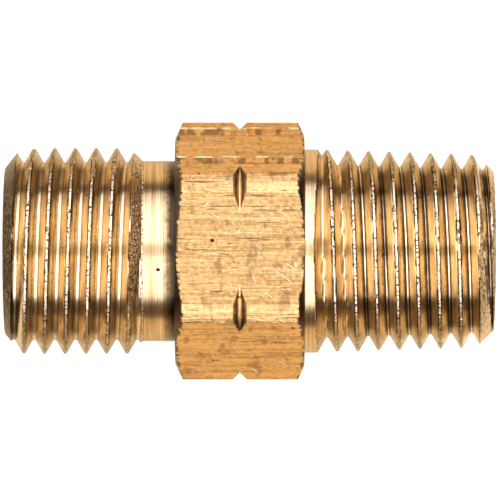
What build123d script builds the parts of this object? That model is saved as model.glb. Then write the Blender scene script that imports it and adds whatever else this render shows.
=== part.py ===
"""Hex nipple, turned and threaded from one brass bar: a left-hand straight thread, a hexagon and a taper
pipe thread on one axis, with a bore right through.

Millimetres. X runs along the bore, from the left-hand thread to the taper thread. X = 0 is the middle of
the hexagon, and +Z is square to one of its flats.
"""

from build123d import *
import os
from math import cos, pi, radians, sin, tan

INCH = 25.4

# Both threads: 18 to the inch, 60 degree form with a narrow flat root.
PITCH = INCH / 18
HALF_ANGLE = radians(30)
ROOT_FLAT = 0.12
GROOVE_DEPTH = 1.07         # where the sloping flanks end, just past the crests
CUTTER_HEIGHT = 1.40
RUN_OUT_CLEAR = 0.10        # how far past the plain diameter a root climbs at its run-out
SPAN_POINTS = 8             # steps along each half turn

# Left-hand straight thread, 9/16-18, which ends in a relief neck beside the hexagon.
LEFT_END = -16.02
LEFT_FACE_R = 5.67
LEFT_CHAMFER = radians(52)  # from the axis
LEFT_MAJOR_R = 7.05
LEFT_ROOT_R = 6.07
LEFT_ROOT_X = -9.10         # where the groove's root crosses the +Y side
LEFT_RUN_OUT = 0.16         # turns
NECK_R = 6.14
NECK_START = -6.62

# Hexagon, 5/8 across flats, with rounded corners, turned end chamfers and a V groove in its corners.
HEX_FLATS = INCH * 5 / 8
HEX_CORNER_R = 8.78
HEX_HALF_LENGTH = 4.40
HEX_CHAMFER = radians(25)   # from the end face
HEX_FACE_R = (7.71, 7.86)   # where the chamfers start, at the left and right end faces
MARK_BOTTOM_R = 8.35
MARK_HALF_ANGLE = radians(45)

# Taper pipe thread, 1/4-18, 1 in 16 on diameter, which fades out on the plain shank.
RIGHT_END = 17.31
RIGHT_FACE_R = 5.46
TAPER = 1 / 32              # on radius
RIGHT_MAJOR_R = 6.58        # at the small end
RIGHT_ROOT_R = 5.54         # at the small end
RIGHT_ROOT_X = 12.31        # where the groove's root crosses the +Y side
RIGHT_RUN_OUT = 0.42        # turns
RIGHT_RUN_OUT_X = 5.61
SHANK_R = 6.95

# Bore, with a conical seat in the left-hand end and a small chamfer in the other.
BORE_R = INCH / 8
SEAT_MOUTH_R = 4.60
SEAT_HALF_ANGLE = radians(30)
BORE_CHAMFER = 0.40
BORE_OVERRUN = 0.5          # of the bore's cutter past each end face


def turned(*outline):
    """A solid of revolution about X from (x, radius) points."""
    return revolve(make_face(Polyline(*outline, close=True)), Axis.X, 360)


def envelope():
    """The bar turned to its diameters, before the hexagon and the threads."""
    chamfer_top = LEFT_END + (LEFT_MAJOR_R - LEFT_FACE_R) / tan(LEFT_CHAMFER)
    taper_top = RIGHT_END - (RIGHT_MAJOR_R - RIGHT_FACE_R)
    taper_r = RIGHT_MAJOR_R + (RIGHT_END - taper_top) * TAPER
    taper_meets_shank = taper_top - (SHANK_R - taper_r) / TAPER
    return turned(
        (LEFT_END, 0),
        (LEFT_END, LEFT_FACE_R),
        (chamfer_top, LEFT_MAJOR_R),
        (NECK_START - (LEFT_MAJOR_R - NECK_R), LEFT_MAJOR_R),
        (NECK_START, NECK_R),
        (0, NECK_R),
        (0, SHANK_R),
        (taper_meets_shank, SHANK_R),
        (taper_top, taper_r),
        (RIGHT_END, RIGHT_FACE_R),
        (RIGHT_END, 0),
    )


def hexagon():
    """The bar's own hexagon, turned at its corners and ends, with the mark groove in each corner."""
    flats = Plane.YZ * RegularPolygon(HEX_FLATS / 2, 6, major_radius=False)
    left_chamfer, right_chamfer = ((HEX_CORNER_R - face_r) * tan(HEX_CHAMFER) for face_r in HEX_FACE_R)
    mark_half_width = (HEX_CORNER_R - MARK_BOTTOM_R) * tan(MARK_HALF_ANGLE)
    corners = turned(
        (-HEX_HALF_LENGTH, 0),
        (-HEX_HALF_LENGTH, HEX_FACE_R[0]),
        (left_chamfer - HEX_HALF_LENGTH, HEX_CORNER_R),
        (-mark_half_width, HEX_CORNER_R),
        (0, MARK_BOTTOM_R),
        (mark_half_width, HEX_CORNER_R),
        (HEX_HALF_LENGTH - right_chamfer, HEX_CORNER_R),
        (HEX_HALF_LENGTH, HEX_FACE_R[1]),
        (HEX_HALF_LENGTH, 0),
    )
    return extrude(flats, HEX_HALF_LENGTH, both=True) & corners


def left_root(turn):
    """Angle from +Y, X and radius of the straight groove's root: it climbs out at the relief neck."""
    to_neck = (NECK_START - LEFT_ROOT_X) / PITCH
    climb = max(0, turn - (to_neck - LEFT_RUN_OUT)) / LEFT_RUN_OUT
    out_r = NECK_R + RUN_OUT_CLEAR
    return -2 * pi * turn, LEFT_ROOT_X + PITCH * turn, LEFT_ROOT_R + climb * (out_r - LEFT_ROOT_R)


def right_root(turn):
    """The same of the taper groove, which stops advancing and climbs out as it goes round the shank."""
    to_shank = (RIGHT_RUN_OUT_X - RIGHT_ROOT_X) / PITCH
    climb = max(0, to_shank - turn) / RIGHT_RUN_OUT
    x = RIGHT_ROOT_X + PITCH * max(turn, to_shank)
    root_r = RIGHT_ROOT_R + (RIGHT_END - x) * TAPER
    out_r = SHANK_R + RUN_OUT_CLEAR
    return 2 * pi * turn, x, root_r + climb * (out_r - root_r)


def groove_span(root, start, end):
    """A solid trapezoid along root from one turn count to another, straight-sided past the crests."""
    half_top = ROOT_FLAT / 2 + GROOVE_DEPTH * tan(HALF_ANGLE)
    profile = (
        (-ROOT_FLAT / 2, 0),
        (ROOT_FLAT / 2, 0),
        (half_top, GROOVE_DEPTH),
        (half_top, CUTTER_HEIGHT),
        (-half_top, CUTTER_HEIGHT),
        (-half_top, GROOVE_DEPTH),
    )
    path = [root(start + (end - start) * i / SPAN_POINTS) for i in range(SPAN_POINTS + 1)]
    edges = [
        Edge.make_spline([
            Vector(x + along, (root_r + out) * cos(angle), (root_r + out) * sin(angle))
            for angle, x, root_r in path
        ])
        for along, out in profile
    ]
    sides = [Face.make_surface_from_curves(edge, edges[i - 1]) for i, edge in enumerate(edges)]
    ends = [Face(Wire.make_polygon([edge @ place for edge in edges])) for place in (0, 1)]
    return Solid(Shell([*sides, *ends]))


def with_groove(body, root, start, end):
    """The body with a groove cut along root, half a turn at a time. The root's angle falls on the way."""
    spans = round(abs(end - start) * 2)
    for i in range(spans):
        body -= groove_span(root, start + (end - start) * i / spans, start + (end - start) * (i + 1) / spans)
    return body


def threaded():
    """The turned bar with both threads."""
    left_start = (LEFT_END - PITCH - LEFT_ROOT_X) / PITCH
    left_stop = (NECK_START - LEFT_ROOT_X) / PITCH
    right_start = (RIGHT_END + PITCH - RIGHT_ROOT_X) / PITCH
    right_stop = (RIGHT_RUN_OUT_X - RIGHT_ROOT_X) / PITCH - RIGHT_RUN_OUT
    left_done = with_groove(envelope(), left_root, left_start, left_stop)
    return with_groove(left_done, right_root, right_start, right_stop)


def bore():
    """The through bore with its seat and its far chamfer, standing clear of both end faces."""
    seat = (SEAT_MOUTH_R - BORE_R) / tan(SEAT_HALF_ANGLE)
    return turned(
        (LEFT_END - BORE_OVERRUN, 0),
        (LEFT_END - BORE_OVERRUN, SEAT_MOUTH_R),
        (LEFT_END, SEAT_MOUTH_R),
        (LEFT_END + seat, BORE_R),
        (RIGHT_END - BORE_CHAMFER, BORE_R),
        (RIGHT_END, BORE_R + BORE_CHAMFER),
        (RIGHT_END + BORE_OVERRUN, BORE_R + BORE_CHAMFER),
        (RIGHT_END + BORE_OVERRUN, 0),
    )


os.makedirs("parts", exist_ok=True)
export_step(threaded() + hexagon() - bore(), "parts/nipple_body.step")
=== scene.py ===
"""A brass hex nipple on a pale floor, seen from straight above.

The nipple's visible skin is one mesh of rings round the X axis, whose rows follow the two threads and the
edges of the hexagon. Lengths below are in millimetres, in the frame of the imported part.
"""

from math import acos, cos, pi, radians, sin, tan

import bmesh
import bpy
import numpy as np
from mathutils import Matrix, Vector

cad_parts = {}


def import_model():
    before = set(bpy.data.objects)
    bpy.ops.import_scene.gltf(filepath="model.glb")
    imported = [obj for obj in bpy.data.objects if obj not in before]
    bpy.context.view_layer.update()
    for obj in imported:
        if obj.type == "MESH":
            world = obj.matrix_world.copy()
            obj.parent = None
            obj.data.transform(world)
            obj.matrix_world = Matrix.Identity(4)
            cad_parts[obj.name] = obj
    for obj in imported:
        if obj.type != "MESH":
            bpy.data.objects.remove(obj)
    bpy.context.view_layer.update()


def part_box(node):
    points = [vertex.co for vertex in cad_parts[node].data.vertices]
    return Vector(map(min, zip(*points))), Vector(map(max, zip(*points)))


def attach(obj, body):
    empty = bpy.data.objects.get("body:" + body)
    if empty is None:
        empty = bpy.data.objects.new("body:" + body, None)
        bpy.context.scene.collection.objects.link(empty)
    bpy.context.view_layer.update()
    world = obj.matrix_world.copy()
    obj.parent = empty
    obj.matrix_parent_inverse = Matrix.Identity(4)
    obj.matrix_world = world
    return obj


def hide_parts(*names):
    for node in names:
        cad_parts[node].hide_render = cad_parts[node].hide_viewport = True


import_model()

MM = 0.001
NODE = "nipple_body"
low, high = (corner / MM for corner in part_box(NODE))

# Both threads
PITCH = 25.4 / 18
FLANK = tan(radians(30))        # axial run of a flank for each unit of depth
LEFT_ROOT_FLAT = 0.16
RIGHT_ROOT_FLAT = 0.10
RUN_OUT_CLEAR = 0.10
IN_GROOVE = 0.01                # how far under its blank a surface counts as a groove's

# Left-hand straight thread and its relief neck
LEFT_END = low.x
LEFT_FACE_R = 5.67
LEFT_CHAMFER = tan(radians(52))
LEFT_MAJOR_R = 7.04
LEFT_ROOT_R = 6.07
LEFT_ROOT_X = -9.10
LEFT_RUN_OUT = 0.16
NECK_R = 6.14
NECK_START = -6.62

# Hexagon
FLAT_R = high.z
CORNER_R = high.y
HEX_HALF_LENGTH = 4.40
HEX_CHAMFER = tan(radians(25))
HEX_FACE_R = (7.71, 7.86)
MARK_BOTTOM_R = 8.35
MARK_FLOOR = 0.04               # half the flat at the bottom of the mark groove

# Taper pipe thread and its shank
RIGHT_END = high.x
RIGHT_FACE_R = 5.46
TAPER = 1 / 32
RIGHT_MAJOR_R = 6.58
RIGHT_ROOT_R = 5.54
RIGHT_ROOT_X = 12.31
RIGHT_RUN_OUT = 0.42
RIGHT_RUN_OUT_X = 5.61
SHANK_R = 6.94
FINE_END = 7.40                 # the run-out has straight fine rows as far as here

# Bore
BORE_R = 25.4 / 8
SEAT_MOUTH_R = 4.60
SEAT_SLOPE = tan(radians(30))
BORE_CHAMFER = 0.40

# Torn crests: how deep each kind of damage goes, how many knots its noise has in a turn
TORN, TORN_KNOTS = 0.07, 14
FINE, FINE_KNOTS = 0.05, 60
NICK, NICK_KNOTS, NICK_LEVEL = 0.55, 34, 0.82
LEFT_SEED, RIGHT_SEED = 11, 23

# Painted shade: the hexagon's shadow on the neck, and shade on the chamfers, the mark groove and the taper
# roots. A painted shade of 1 is painted black
NECK_SHADOW = 1.15               # width on the neck, against the hexagon
END_SHADE_WIDTH = 0.85                # width on the left end's chamfer
END_SHADE_SOFT = 0.3
END_SHADE = 0.7
CHAMFER_SHADE = 0.9             # on the hexagon's end chamfers
MARK_GROOVE_SHADE = 0.62               # on the mark groove's flanks
ROOT_KNOTS, ROOT_SEED = 5, 31   # of the noise that says where a taper root is painted dark right across

# Lines along the bar, above the axis: the Y of bright lines, which are painted highlights, and of dark lines
PAINTED_HIGHLIGHT_Y = (6.25, 8.33)
DARK_LINES = (2.83, 3.89)

# Depth from 0 at a thread's crest to 1 at its root
PLAIN = -0.5                    # says that a surface has no thread
CREST_FROM = (-0.30, -0.20)     # where plain metal gives way to a crest
FLANK_FROM = (0.02, 0.05)       # where a crest gives way to a flank

# Mesh density
FLAT_COLUMNS = 18               # in half a flat
CORNER_COLUMNS = 8              # in a rounded corner
FLANK_ROWS = 5
BAR_ROWS = 19                   # along each half of the hexagon's surface
EDGE_ROWS = 4                   # across an end chamfer or a flank of the mark groove
FINE_ROW = 0.06

# Brass, as linear (red, green, blue), dark and light
TURNED = (0.50, 0.31, 0.12), (0.81, 0.59, 0.33)
# The flanks that face +X take the second of these two, which is more torn and darker, partly as painted
# shade
LIT_CLEAN_FLANK = (0.70, 0.53, 0.315), (0.82, 0.66, 0.42)
SHADED_TORN_FLANK = (0.58, 0.44, 0.26), (0.78, 0.61, 0.38)
CREST = (0.10, 0.07, 0.05), (0.86, 0.68, 0.43)
BAR = (0.44, 0.245, 0.085), (0.73, 0.435, 0.17)
# Painted shade along the crests' edges and beside the roots
FLANK_EDGE_SHADE = (0.03, 0.02, 0.012)
# The black of painted shade, and of pits
SHADE_AND_PIT_BLACK = (0.02, 0.012, 0.008)
BAR_SEAM = (0.10, 0.05, 0.018)
BAR_STAIN = (0.22, 0.12, 0.045)
BAR_DARK_BAND = (0.12, 0.06, 0.025)
SCRATCH = (0.95, 0.85, 0.65)
# Painted highlight, the colour of the bright lines along the bar
PAINTED_HIGHLIGHT_COLOUR = (1.0, 0.92, 0.75)

# Lights and surroundings, as linear (red, green, blue)
COOL = (0.95, 0.97, 1.2)
HORIZON = (0.14, 0.11, 0.08)
ZENITH = (1.25, 1.25, 1.3)
DIM_SIDE = (0.22, 0.22, 0.22)
WHITE = (1, 1, 1)
SIDE = (-4, 56)                 # degrees from the zenith towards +X
LIGHT_DISTANCE = 0.6            # metres
FLOOR_SEEN = (0.90, 0.88, 0.78)
FLOOR_REFLECTED = (0.72, 0.56, 0.32)
FAR_FLOOR_REFLECTED = (0.18, 0.13, 0.075)
FLOOR_GLOW = 0.35

# Where the reflected floor turns from bright to dark, in metres
STRIP_EDGE = (0.006, 0.011)         # along X, at the side of the bright strip beside the hexagon
STRIP_END = (0.07, 0.12)            # along Y, at that strip's end
NEAR_FLOOR_EDGE = (0.010, 0.018)    # along Y, beside the threads


def column_angles():
    """Angles from +Y towards +Z, with a column on each edge of the hexagon. The lower flat is first."""
    half_corner = pi / 6 - acos(FLAT_R / CORNER_R)
    angles = []
    for corner in np.radians([-60, 0, 60, 120, 180, 240]):
        first, last = corner - half_corner, corner + half_corner
        angles += list(np.linspace(corner - pi / 6, first, FLAT_COLUMNS, endpoint=False))
        angles += list(np.linspace(first, last, CORNER_COLUMNS, endpoint=False))
        angles += list(np.linspace(last, corner + pi / 6, FLAT_COLUMNS, endpoint=False))
    return np.array(angles)


PHI = column_angles()
HEX_R = np.minimum(FLAT_R / np.cos((PHI - pi / 2 + pi / 6) % (pi / 3) - pi / 6), CORNER_R)


class Skin:
    """Rows of points round the X axis, gathered into one mesh. Neighbouring zones share their end rows."""

    def __init__(self):
        self.points, self.faces, self.bar, self.count = [], [], [], 0
        self.marks = {"depth": [], "facing": [], "grime": []}

    def add(self, x, r, row_shift=0, bar=0.0, depth=PLAIN, facing=0.0, grime=0.0):
        """Joins rows of x and r, one value for each column. row_shift is what a row gains over a full turn.

        bar is 1 on the drawn bar's own surface. depth runs from 0 at a thread's crest to 1 at its root, and
        is PLAIN elsewhere. facing is 1 on the flanks that face -X. The last mark is painted shade, from 0
        on unshaded metal to 1 where it is painted black.
        """
        x, r = np.broadcast_arrays(x, r)
        rows, columns = x.shape
        self.points.append(np.stack([x, r * np.cos(PHI), r * np.sin(PHI)], axis=-1).reshape(-1, 3))
        for name, value in (("depth", depth), ("facing", facing), ("grime", grime)):
            self.marks[name].append(np.broadcast_to(value, x.shape).reshape(-1))
        index = self.count + np.arange(rows * columns).reshape(rows, columns)
        wrapped = index[np.clip(np.arange(rows) + row_shift, 0, rows - 1), :1]
        index = np.concatenate([index, wrapped], axis=1)
        quads = np.stack([index[:-1, :-1], index[:-1, 1:], index[1:, 1:], index[1:, :-1]], axis=-1)
        self.faces.append(quads.reshape(-1, 4))
        self.bar.append(np.broadcast_to(bar, quads.shape[:2]).reshape(-1))
        self.count += rows * columns

    def build(self, name):
        points = np.concatenate(self.points) * MM
        mesh = bpy.data.meshes.new(name)
        mesh.from_pydata(points.tolist(), [], np.concatenate(self.faces).tolist())
        mesh.attributes.new("bar", "FLOAT", "FACE").data.foreach_set("value", np.concatenate(self.bar))
        for mark, values in self.marks.items():
            mesh.attributes.new(mark, "FLOAT", "POINT").data.foreach_set("value", np.concatenate(values))
        edit = bmesh.new()
        edit.from_mesh(mesh)
        bmesh.ops.remove_doubles(edit, verts=edit.verts, dist=2e-4 * MM)
        bmesh.ops.recalc_face_normals(edit, faces=edit.faces)
        edit.to_mesh(mesh)
        edit.free()
        mesh.polygons.foreach_set("use_smooth", [True] * len(mesh.polygons))
        mesh.set_sharp_from_angle(angle=radians(22))
        piece = bpy.data.objects.new(name, mesh)
        bpy.context.scene.collection.objects.link(piece)
        return piece


def straight_groove(x):
    """Radius of the straight thread's groove at each x and column, climbing out at the neck."""
    stop = (NECK_START - LEFT_ROOT_X) / PITCH
    radius = np.full(np.broadcast_shapes(x.shape, PHI.shape), np.inf)
    for whole in range(-8, 4):
        turn = whole - PHI / (2 * pi)
        climb = np.clip((turn - stop + LEFT_RUN_OUT) / LEFT_RUN_OUT, 0, 1)
        root_r = LEFT_ROOT_R + climb * (NECK_R + RUN_OUT_CLEAR - LEFT_ROOT_R)
        flank = np.maximum(abs(x - LEFT_ROOT_X - PITCH * turn) - LEFT_ROOT_FLAT / 2, 0) / FLANK
        radius = np.minimum(radius, np.where(turn <= stop, root_r + flank, np.inf))
    return radius


def taper_groove(x):
    """The same of the taper thread, whose groove stops advancing and climbs out on the shank."""
    to_shank = (RIGHT_RUN_OUT_X - RIGHT_ROOT_X) / PITCH
    radius = np.full(np.broadcast_shapes(x.shape, PHI.shape), np.inf)
    for whole in range(-7, 6):
        turn = whole + PHI / (2 * pi)
        climb = np.maximum(to_shank - turn, 0) / RIGHT_RUN_OUT
        root_x = RIGHT_ROOT_X + PITCH * np.maximum(turn, to_shank)
        root_r = RIGHT_ROOT_R + (RIGHT_END - root_x) * TAPER
        root_r = root_r + climb * (SHANK_R + RUN_OUT_CLEAR - root_r)
        flank = np.maximum(abs(x - root_x) - RIGHT_ROOT_FLAT / 2, 0) / FLANK
        radius = np.minimum(radius, np.where(climb <= 1, root_r + flank, np.inf))
    return radius


def smooth_noise(places, step, seed):
    """Random values from -1 to 1, a new one every step, joined by straight lines."""
    rng = np.random.default_rng(seed)
    knots = np.arange(places.min() - step, places.max() + 2 * step, step)
    return np.interp(places, knots, rng.uniform(-1, 1, len(knots)))


def crest_cut(crest_turn, seed):
    """How far a torn crest falls short of its full radius along its helix."""
    torn = TORN * np.maximum(smooth_noise(crest_turn, 1 / TORN_KNOTS, seed), 0)
    fine = FINE * np.maximum(smooth_noise(crest_turn, 1 / FINE_KNOTS, seed + 1), 0)
    nick = NICK * np.maximum(smooth_noise(crest_turn, 1 / NICK_KNOTS, seed + 2) - NICK_LEVEL, 0)
    return torn + fine + nick


def left_radius(x):
    """Radius of the straight thread's skin at each x and column, and its depth from crest to root."""
    crest_turn = np.floor((x - LEFT_ROOT_X) / PITCH + PHI / (2 * pi)) - PHI / (2 * pi)
    blank = np.minimum(LEFT_MAJOR_R, LEFT_FACE_R + (x - LEFT_END) * LEFT_CHAMFER)
    relief = NECK_R + np.maximum(NECK_START - x, 0)
    torn = np.minimum(blank, LEFT_MAJOR_R - crest_cut(crest_turn, LEFT_SEED))
    radius = np.minimum.reduce([straight_groove(x), torn, relief + 0 * PHI])
    in_groove = radius < np.minimum(torn, relief) - IN_GROOVE
    return radius, np.where(in_groove, (blank - radius) / (LEFT_MAJOR_R - LEFT_ROOT_R), 0)


def right_radius(x):
    """The same of the taper thread and the shank."""
    crest_turn = np.floor((x - RIGHT_ROOT_X) / PITCH - PHI / (2 * pi)) + PHI / (2 * pi)
    in_thread = np.clip((x - RIGHT_RUN_OUT_X) / PITCH, 0, 1)
    crest = np.minimum(RIGHT_MAJOR_R + (RIGHT_END - x) * TAPER, SHANK_R)
    blank = np.minimum(crest, RIGHT_FACE_R + (RIGHT_END - x))
    torn = np.minimum(blank, crest - in_thread * crest_cut(crest_turn, RIGHT_SEED))
    radius = np.minimum(taper_groove(x), torn)
    depth = np.where(in_thread > 0, 0, PLAIN)
    in_groove = radius < torn - IN_GROOVE
    return radius, np.where(in_groove, (blank - radius) / (RIGHT_MAJOR_R - RIGHT_ROOT_R), depth)


def root_shade(x):
    """Painted shade along the right of the taper thread's root, and across all of it in places."""
    root_turn = (x - RIGHT_ROOT_X) / PITCH - PHI / (2 * pi)
    offset = PITCH * (root_turn - np.round(root_turn))
    places = smooth_noise(np.round(root_turn) + PHI / (2 * pi), 1 / ROOT_KNOTS, ROOT_SEED)
    right = np.interp(offset, [0, 0.05, 0.15], [0, 1, 0])
    across = np.interp(offset, [-0.07, 0, 0.05, 0.15], [0, 1, 1, 0])
    return np.maximum(right, across * np.clip(0.5 + 2 * places, 0, 1))


def profile_fractions(major_r, root_r, root_flat):
    """Places across one pitch, from one root's middle to the next, of the rows of a thread."""
    crest_half = (PITCH - root_flat) / 2 - (major_r - root_r) * FLANK
    up = np.linspace(root_flat / 2, PITCH / 2 - crest_half, FLANK_ROWS + 2)
    return np.concatenate([[0], up, [PITCH / 2], PITCH - up[::-1]]) / PITCH


def facing_left(x, root_x, hand):
    """1 on the flank to the right of each root, which faces -X."""
    return np.where(((x - root_x) / PITCH - hand * PHI / (2 * pi) + 1e-6) % 1 < 0.5, 1.0, 0.0)


def helical_rows(x_from, x_to, root_x, hand, fractions):
    """x of rows that follow a thread, clamped between two planes, and what a row gains over a turn."""
    first = int(np.floor((x_from - root_x) / PITCH)) - 2
    last = int(np.ceil((x_to - root_x) / PITCH)) + 2
    places = np.concatenate([whole + fractions for whole in range(first, last + 1)])
    rows = root_x + PITCH * (places[:, None] + hand * PHI / (2 * pi))
    return np.clip(rows, x_from, x_to), hand * len(fractions)


def straight_rows(*stops):
    """Rows between (x, radius) stops: each stop after the first also says into how many steps."""
    x, r = [stops[0][0]], [stops[0][1]]
    for (x0, r0, *_), (x1, r1, steps) in zip(stops, stops[1:]):
        share = np.arange(1, steps + 1) / steps
        x += list(x0 + (x1 - x0) * share)
        r += list(r0 + (r1 - r0) * share)
    ones = np.ones(len(PHI))
    return np.outer(x, ones), np.outer(r, ones)


def build_nipple():
    """The whole skin, from the middle of the bore out of the left end and back in at the right one."""
    skin = Skin()
    seat_depth = (SEAT_MOUTH_R - BORE_R) / SEAT_SLOPE
    skin.add(*straight_rows(
        (0, BORE_R), (LEFT_END + seat_depth, BORE_R, 6),
        (LEFT_END, SEAT_MOUTH_R, 6), (LEFT_END, LEFT_FACE_R, 3),
    ))
    add_straight_thread(skin)
    add_neck(skin)
    add_hexagon(skin)
    skin.add(*straight_rows((HEX_HALF_LENGTH, HEX_FACE_R[1]), (HEX_HALF_LENGTH, SHANK_R, 3)))
    add_taper_thread(skin)
    skin.add(*straight_rows(
        (RIGHT_END, RIGHT_FACE_R), (RIGHT_END, BORE_R + BORE_CHAMFER, 4),
        (RIGHT_END - BORE_CHAMFER, BORE_R, 2), (0, BORE_R, 6),
    ))
    return skin.build("nipple")


def add_straight_thread(skin):
    """The left-hand thread, with painted shade on the chamfer at its end."""
    fractions = profile_fractions(LEFT_MAJOR_R, LEFT_ROOT_R, LEFT_ROOT_FLAT)
    x, shift = helical_rows(LEFT_END, NECK_START, LEFT_ROOT_X, -1, fractions)
    radius, depth = left_radius(x)
    # Painted shade on the left end's chamfer
    grime = np.clip((LEFT_END + END_SHADE_WIDTH - x) / END_SHADE_SOFT, 0, END_SHADE)
    skin.add(x, radius, shift, depth=depth, facing=facing_left(x, LEFT_ROOT_X, -1), grime=grime)


def add_neck(skin):
    """The relief neck, with the hexagon's shadow painted on it, and the hexagon's left face."""
    x, radius = straight_rows((NECK_START, NECK_R), (-HEX_HALF_LENGTH, NECK_R, 16))
    # Painted shadow of the hexagon on the neck, darkest at the hexagon
    skin.add(x, radius, grime=np.clip((x + HEX_HALF_LENGTH) / NECK_SHADOW + 1, 0, 1))
    x, radius = straight_rows((-HEX_HALF_LENGTH, NECK_R), (-HEX_HALF_LENGTH, HEX_FACE_R[0], 8))
    grime = np.zeros((len(x), 1))
    # Painted shade in the corner against the neck and on the face's outer edge
    grime[0], grime[-1] = 1, CHAMFER_SHADE
    skin.add(x, radius, grime=grime)


def add_taper_thread(skin):
    """The shank and the thread's run-out in fine straight rows, then the rest of the thread."""
    fine_rows = int((FINE_END - HEX_HALF_LENGTH) / FINE_ROW)
    x = np.outer(np.linspace(HEX_HALF_LENGTH, FINE_END, fine_rows), np.ones(len(PHI)))
    radius, depth = right_radius(x)
    skin.add(x, radius, depth=depth)
    fractions = profile_fractions(RIGHT_MAJOR_R, RIGHT_ROOT_R, RIGHT_ROOT_FLAT)
    x, shift = helical_rows(FINE_END, RIGHT_END, RIGHT_ROOT_X, 1, fractions)
    radius, depth = right_radius(x)
    facing = facing_left(x, RIGHT_ROOT_X, 1)
    # Painted shade along the roots
    skin.add(x, radius, shift, depth=depth, facing=facing, grime=root_shade(x))


def add_hexagon(skin):
    """The hexagon's outside. Its rows follow the edges of the end chamfers and of the mark groove."""
    left = -HEX_HALF_LENGTH + (HEX_R - HEX_FACE_R[0]) * HEX_CHAMFER
    right = HEX_HALF_LENGTH - (HEX_R - HEX_FACE_R[1]) * HEX_CHAMFER
    mark = np.maximum(HEX_R - MARK_BOTTOM_R, 0) + MARK_FLOOR
    bottom = np.minimum(HEX_R, MARK_BOTTOM_R)
    in_mark = np.where(HEX_R > MARK_BOTTOM_R + MARK_FLOOR, 1.0, 0.0)
    share = np.linspace(0, 1, EDGE_ROWS)[:, None]
    along = np.linspace(0, 1, BAR_ROWS)[:, None]

    left_rows = -HEX_HALF_LENGTH + (left + HEX_HALF_LENGTH) * share
    # Painted shade on the end chamfer
    skin.add(left_rows, HEX_FACE_R[0] + (HEX_R - HEX_FACE_R[0]) * share, grime=CHAMFER_SHADE)
    skin.add(left + (-mark - left) * along, HEX_R + 0 * along, bar=1.0)
    across_flank = np.array([0.1, 0.5, 0.5, 0.1])[:, None]
    # Painted shade on the mark groove's flanks
    grime = MARK_GROOVE_SHADE * in_mark * np.sin(pi * across_flank)
    skin.add(-mark + (mark - MARK_FLOOR) * share, HEX_R + (bottom - HEX_R) * share, grime=grime)
    skin.add(np.outer([-MARK_FLOOR, MARK_FLOOR], np.ones(len(PHI))), bottom, bar=1 - in_mark)
    skin.add(MARK_FLOOR + (mark - MARK_FLOOR) * share, bottom + (HEX_R - bottom) * share, grime=grime)
    skin.add(mark + (right - mark) * along, HEX_R + 0 * along, bar=1.0)
    right_rows = right + (HEX_HALF_LENGTH - right) * share
    # Painted shade on the end chamfer
    skin.add(right_rows, HEX_R + (HEX_FACE_R[1] - HEX_R) * share, grime=CHAMFER_SHADE)


class Nodes:
    """Short ways to make and join a material's nodes."""

    def __init__(self, tree):
        self.tree = tree

    def new(self, kind, **settings):
        """A new node, with its own settings but not its sockets' values."""
        node = self.tree.nodes.new("ShaderNode" + kind)
        for name, value in settings.items():
            setattr(node, name, value)
        return node

    def link(self, source, target):
        self.tree.links.new(source, target)

    def fill(self, node, names, values):
        """Sets or links each named input. Names may be positions."""
        for name, value in zip(names, values):
            socket = node.inputs[name]
            if isinstance(value, bpy.types.NodeSocket):
                self.link(value, socket)
            else:
                socket.default_value = value

    def split(self, vector):
        """The three outputs of a vector, by the names X, Y and Z."""
        parts = self.new("SeparateXYZ")
        self.link(vector, parts.inputs[0])
        return parts.outputs

    def math(self, operation, a, b=0.0):
        node = self.new("Math", operation=operation)
        self.fill(node, (0, 1), (a, b))
        return node.outputs[0]

    def add(self, a, b):
        return self.math("ADD", a, b)

    def times(self, a, b):
        return self.math("MULTIPLY", a, b)

    def mean(self, a, b):
        return self.times(self.add(a, b), 0.5)

    def attribute(self, name):
        return self.new("Attribute", attribute_name=name).outputs["Fac"]

    def ramp(self, value, low, high):
        """0 below low and 1 above high, smooth between."""
        node = self.new("MapRange", interpolation_type="SMOOTHSTEP")
        self.fill(node, ("Value", "From Min", "From Max"), (value, low, high))
        return node.outputs[0]

    def band(self, value, low, high, soft):
        """1 between low and high, falling to 0 over soft each side."""
        below = self.ramp(value, low - soft, low)
        above = self.ramp(value, high, high + soft)
        return self.math("SUBTRACT", below, above)

    def mix(self, factor, a, b):
        """Mixes two colours, which are sockets or linear (red, green, blue)."""
        node = self.new("Mix", data_type="RGBA")
        a, b = (value if isinstance(value, bpy.types.NodeSocket) else (*value, 1) for value in (a, b))
        self.fill(node, (0, 6, 7), (factor, a, b))
        return node.outputs[2]

    def multiply(self, a, b):
        """Multiplies two colours."""
        node = self.new("Mix", data_type="RGBA", blend_type="MULTIPLY")
        a, b = (value if isinstance(value, bpy.types.NodeSocket) else (*value, 1) for value in (a, b))
        self.fill(node, (0, 6, 7), (1.0, a, b))
        return node.outputs[2]

    def mix_value(self, factor, a, b):
        node = self.new("Mix", data_type="FLOAT")
        self.fill(node, (0, 2, 3), (factor, a, b))
        return node.outputs[0]

    def noise(self, position, per_metre, detail=2.0, turn=0.0):
        """Noise with its own number of features to the metre along each axis, turned about Z in degrees."""
        if turn:
            turned = self.new("VectorRotate", rotation_type="Z_AXIS")
            self.fill(turned, ("Vector", "Angle"), (position, radians(turn)))
            position = turned.outputs[0]
        scaled = self.new("VectorMath", operation="MULTIPLY")
        self.fill(scaled, (0, 1), (position, per_metre))
        node = self.new("TexNoise")
        self.fill(node, ("Vector", "Scale", "Detail"), (scaled.outputs[0], 1.0, detail))
        return node.outputs["Fac"]


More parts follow.
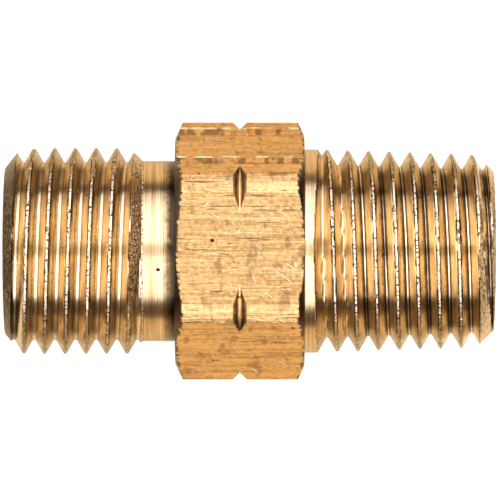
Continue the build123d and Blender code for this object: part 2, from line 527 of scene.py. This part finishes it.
def brass_material():
    """Brass in four finishes: turned, the drawn bar's skin, torn crests and thread flanks."""
    material = bpy.data.materials.new("bar_brass")
    material.use_nodes = True
    nodes = Nodes(material.node_tree)
    shader = material.node_tree.nodes["Principled BSDF"]
    shader.inputs["Metallic"].default_value = 1.0
    position = nodes.new("NewGeometry").outputs["Position"]
    ragged = nodes.noise(position, (8000, 5000, 5000), detail=3)
    depth = nodes.add(nodes.attribute("depth"), nodes.times(nodes.add(ragged, -0.5), 0.18))

    colour, height, rough = turned_finish(nodes, position)
    finishes = (
        (nodes.attribute("bar"), bar_finish(nodes, position)),
        (nodes.ramp(depth, *CREST_FROM), crest_finish(nodes, position)),
        (nodes.ramp(depth, *FLANK_FROM), flank_finish(nodes, position, depth)),
    )
    for here, (next_colour, next_height, next_rough) in finishes:
        colour = nodes.mix(here, colour, next_colour)
        height = nodes.mix_value(here, height, next_height)
        rough = nodes.mix_value(here, rough, next_rough)

    # Painted shade from the shade mark, made uneven by noise, and black pits darken the colour
    blotch = nodes.noise(position, (2500, 2500, 2500), detail=3)
    grime = nodes.add(nodes.attribute("grime"), nodes.times(nodes.add(blotch, -0.5), 0.45))
    pits = pitting(nodes, position)
    dark = nodes.math("MAXIMUM", nodes.times(nodes.ramp(grime, 0.15, 0.85), 0.95), pits)
    nodes.link(nodes.mix(dark, colour, SHADE_AND_PIT_BLACK), shader.inputs["Base Color"])
    nodes.link(nodes.add(rough, nodes.times(ragged, 0.08)), shader.inputs["Roughness"])

    bump = nodes.new("Bump")
    bump.inputs["Strength"].default_value = 1.0
    bump.inputs["Distance"].default_value = 0.02 * MM
    nodes.link(nodes.add(height, nodes.times(pits, -2.0)), bump.inputs["Height"])
    nodes.link(bump.outputs["Normal"], shader.inputs["Normal"])
    return material


# Each finish gives its colour, its height in fiftieths of a millimetre, and its roughness


def turned_finish(nodes, position):
    """Bright brass with the fine rings that the turning tool leaves."""
    fine = nodes.noise(position, (22000, 120, 120), detail=3)
    broad = nodes.noise(position, (5000, 60, 60), detail=2)
    rings = nodes.mean(fine, broad)
    return nodes.mix(nodes.ramp(rings, 0.38, 0.60), *TURNED), rings, 0.15


def flank_finish(nodes, position, depth):
    """Rings, with painted shade as dark lines along the edges of the crests and, on flanks that face -X,
    beside the roots. Flanks that face +X are torn and darker, partly as painted shade.
    """
    fine = nodes.noise(position, (17000, 300, 300), detail=3)
    broad = nodes.noise(position, (6000, 500, 500), detail=4)
    rings = nodes.mean(fine, broad)
    facing = nodes.attribute("facing")
    # Flanks that face -X are lighter and flanks that face +X darker, partly as painted shade
    clean = nodes.mix(nodes.ramp(rings, 0.38, 0.60), *LIT_CLEAN_FLANK)
    torn = nodes.mix(nodes.ramp(rings, 0.42, 0.56), *SHADED_TORN_FLANK)
    broken = nodes.ramp(nodes.noise(position, (1400, 1400, 1400)), 0.40, 0.50)
    # Painted shade as dark lines at the crests' edges and beside the roots
    crest_edge = nodes.times(nodes.band(depth, 0.06, 0.15, 0.03), nodes.times(broken, 0.92))
    root_edge = nodes.times(nodes.band(depth, 0.86, 0.92, 0.04), nodes.times(facing, 0.6))
    edge = nodes.math("MAXIMUM", crest_edge, root_edge)
    return nodes.mix(edge, nodes.mix(facing, torn, clean), FLANK_EDGE_SHADE), nodes.times(rings, 0.5), 0.13


def crest_finish(nodes, position):
    """Pale torn brass, with dark gaps."""
    grain = nodes.noise(position, (6000, 6000, 6000), detail=3)
    dark, light = CREST
    return nodes.mix(nodes.ramp(grain, 0.54, 0.60), light, dark), nodes.times(grain, 3.0), 0.20


def bar_finish(nodes, position):
    """The drawn bar's skin: streaks along the bar, stains, scratches, and long lines with painted
    highlights.
    """
    streak = nodes.noise(position, (350, 9000, 9000), detail=3)
    broad = nodes.noise(position, (110, 2200, 2200), detail=3)
    mottle = nodes.noise(position, (3500, 3500, 3500), detail=5)
    lines = nodes.mix_value(0.35, nodes.mean(streak, broad), mottle)
    colour = nodes.mix(nodes.ramp(lines, 0.40, 0.58), *BAR)
    seam = nodes.ramp(nodes.noise(position, (260, 5200, 5200)), 0.63, 0.68)
    colour = nodes.mix(nodes.times(seam, 0.7), colour, BAR_SEAM)
    stain = nodes.ramp(nodes.noise(position, (1300, 700, 700), detail=3), 0.57, 0.68)
    colour = nodes.mix(nodes.times(stain, 0.6), colour, BAR_STAIN)
    scratch = 0.0
    for turn, length in ((35, 420), (-52, 500), (68, 700)):
        one_way = nodes.ramp(nodes.noise(position, (length, 9000, 900), turn=turn), 0.69, 0.73)
        scratch = nodes.math("MAXIMUM", one_way, scratch)
    colour = nodes.mix(nodes.times(scratch, 0.7), colour, SCRATCH)
    # Painted highlights as bright lines along the bar, dark brown bands beside them, and dark lines
    bright, dark = long_lines(nodes, position)
    colour = nodes.mix(nodes.times(dark, 0.75), colour, BAR_DARK_BAND)
    colour = nodes.mix(nodes.times(bright, 0.9), colour, PAINTED_HIGHLIGHT_COLOUR)
    height = nodes.add(nodes.times(lines, 1.5), nodes.times(scratch, 0.5))
    return colour, nodes.add(height, nodes.times(seam, -0.8)), 0.12


def long_lines(nodes, position):
    """Painted highlights as broken bright lines along the bar, with dark brown bands beside them, and broken
    dark lines, all on its upper half.
    """
    place = nodes.split(position)
    upper = nodes.math("GREATER_THAN", place["Z"], 0.0)
    in_line = nodes.ramp(nodes.noise(position, (900, 3000, 200)), 0.48, 0.56)
    in_dark_band = nodes.ramp(nodes.noise(position, (1300, 500, 200), detail=3), 0.47, 0.55)
    bright, dark = 0.0, 0.0
    for y in PAINTED_HIGHLIGHT_Y:
        line = nodes.band(place["Y"], (y - 0.04) * MM, (y + 0.04) * MM, 0.03 * MM)
        dark_band = nodes.band(place["Y"], (y - 0.45) * MM, (y - 0.12) * MM, 0.12 * MM)
        bright = nodes.math("MAXIMUM", line, bright)
        dark = nodes.math("MAXIMUM", dark_band, dark)
    dark = nodes.times(dark, in_dark_band)
    for y in DARK_LINES:
        line = nodes.band(place["Y"], (y - 0.02) * MM, (y + 0.02) * MM, 0.03 * MM)
        dark = nodes.math("MAXIMUM", nodes.times(line, in_line), dark)
    return nodes.times(nodes.times(bright, in_line), upper), nodes.times(dark, upper)


def pitting(nodes, position):
    """1 in a few small pits scattered over the whole nipple."""
    cells = nodes.new("TexVoronoi")
    nodes.fill(cells, ("Vector", "Scale"), (position, 1100.0))
    chosen = nodes.split(cells.outputs["Color"])
    ragged = nodes.noise(position, (9000, 9000, 9000))
    near = nodes.add(cells.outputs["Distance"], nodes.times(nodes.add(ragged, -0.5), 0.25))
    spot = nodes.math("SUBTRACT", 1.0, nodes.ramp(near, 0.10, 0.16))
    return nodes.times(spot, nodes.math("GREATER_THAN", chosen["X"], 0.93))


def softbox(name, lean, side, radiance):
    """A soft light seen from the nipple over two ranges of degrees, from the zenith towards +Y and +X."""
    half_height, half_width = (radians(last - first) / 2 for first, last in (lean, side))
    data = bpy.data.lights.new(name, "AREA")
    data.shape = "RECTANGLE"
    data.size = 2 * LIGHT_DISTANCE * tan(half_width)
    data.size_y = 2 * LIGHT_DISTANCE * tan(half_height)
    data.energy = radiance * pi * data.size * data.size_y
    data.color = COOL
    light = bpy.data.objects.new(name, data)
    to_side = Matrix.Rotation(radians(sum(side)) / 2, 4, "Y")
    to_lean = Matrix.Rotation(-radians(sum(lean)) / 2, 4, "X")
    light.matrix_world = to_side @ to_lean @ Matrix.Translation((0, 0, LIGHT_DISTANCE))
    light.visible_camera = False
    bpy.context.scene.collection.objects.link(light)


def world():
    """A studio that is dark at the horizon and dim on the -X side. The camera sees it plain white."""
    studio = bpy.data.worlds.new("studio")
    bpy.context.scene.world = studio
    studio.use_nodes = True
    nodes = Nodes(studio.node_tree)
    direction = nodes.split(nodes.new("TexCoord").outputs["Generated"])
    height = nodes.mix(nodes.ramp(direction["Z"], 0.2, 0.95), HORIZON, ZENITH)
    side = nodes.mix(nodes.ramp(direction["X"], -0.8, 0.0), DIM_SIDE, WHITE)
    seen = nodes.new("LightPath").outputs["Is Camera Ray"]
    colour = nodes.mix(seen, nodes.multiply(height, side), WHITE)
    nodes.link(colour, studio.node_tree.nodes["Background"].inputs["Color"])


def floor():
    """White to the camera. The brass reflects it warm near the X axis and beside the hexagon, else dark."""
    bpy.ops.mesh.primitive_plane_add(size=4, location=(0, 0, low.z * MM))
    plane = bpy.context.active_object
    plane.name = "floor"
    material = bpy.data.materials.new("floor")
    material.use_nodes = True
    nodes = Nodes(material.node_tree)
    shader = material.node_tree.nodes["Principled BSDF"]
    seen = nodes.new("LightPath").outputs["Is Camera Ray"]
    place = nodes.split(nodes.new("NewGeometry").outputs["Position"])
    along, across = (nodes.math("ABSOLUTE", place[axis]) for axis in "XY")
    off_strip = nodes.math("MAXIMUM", nodes.ramp(along, *STRIP_EDGE), nodes.ramp(across, *STRIP_END))
    far = nodes.times(off_strip, nodes.ramp(across, *NEAR_FLOOR_EDGE))
    reflected = nodes.mix(far, FLOOR_REFLECTED, FAR_FLOOR_REFLECTED)
    nodes.link(nodes.mix(seen, reflected, FLOOR_SEEN), shader.inputs["Base Color"])
    shader.inputs["Roughness"].default_value = 0.9
    shader.inputs["Specular IOR Level"].default_value = 0.0
    nodes.link(nodes.times(seen, FLOOR_GLOW), shader.inputs["Emission Strength"])
    plane.data.materials.append(material)


def camera():
    """Looks almost straight down, from so far away that the view is nearly parallel."""
    view_width, lens, sensor = 34.15, 500, 36
    tilt = radians(1.3)
    target = Vector((0.69, 0.07, 0)) * MM
    distance = view_width / 2 / (sensor / 2 / lens) * MM
    data = bpy.data.cameras.new("camera")
    data.lens = lens
    data.sensor_width = sensor
    data.clip_start = 0.01
    data.clip_end = 10
    eye = bpy.data.objects.new("camera", data)
    eye.location = target + distance * Vector((0, -sin(tilt), cos(tilt)))
    eye.rotation_euler = (tilt, 0, 0)
    bpy.context.scene.collection.objects.link(eye)
    bpy.context.scene.camera = eye


camera()
floor()
world()
softbox("upper_near_softbox", lean=(8, 42), side=SIDE, radiance=2.5)
softbox("upper_far_softbox", lean=(42, 66), side=SIDE, radiance=1.9)
softbox("upper_edge_softbox", lean=(66, 80), side=SIDE, radiance=1.35)
softbox("lower_near_softbox", lean=(-36, -8), side=SIDE, radiance=2.35)
softbox("lower_far_softbox", lean=(-68, -36), side=SIDE, radiance=1.9)
softbox("overhead_softbox", lean=(-8, 8), side=(22, 56), radiance=2.6)
bpy.context.scene.view_settings.view_transform = "Standard"

nipple = build_nipple()
nipple.data.materials.append(brass_material())
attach(nipple, "root")
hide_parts(NODE)
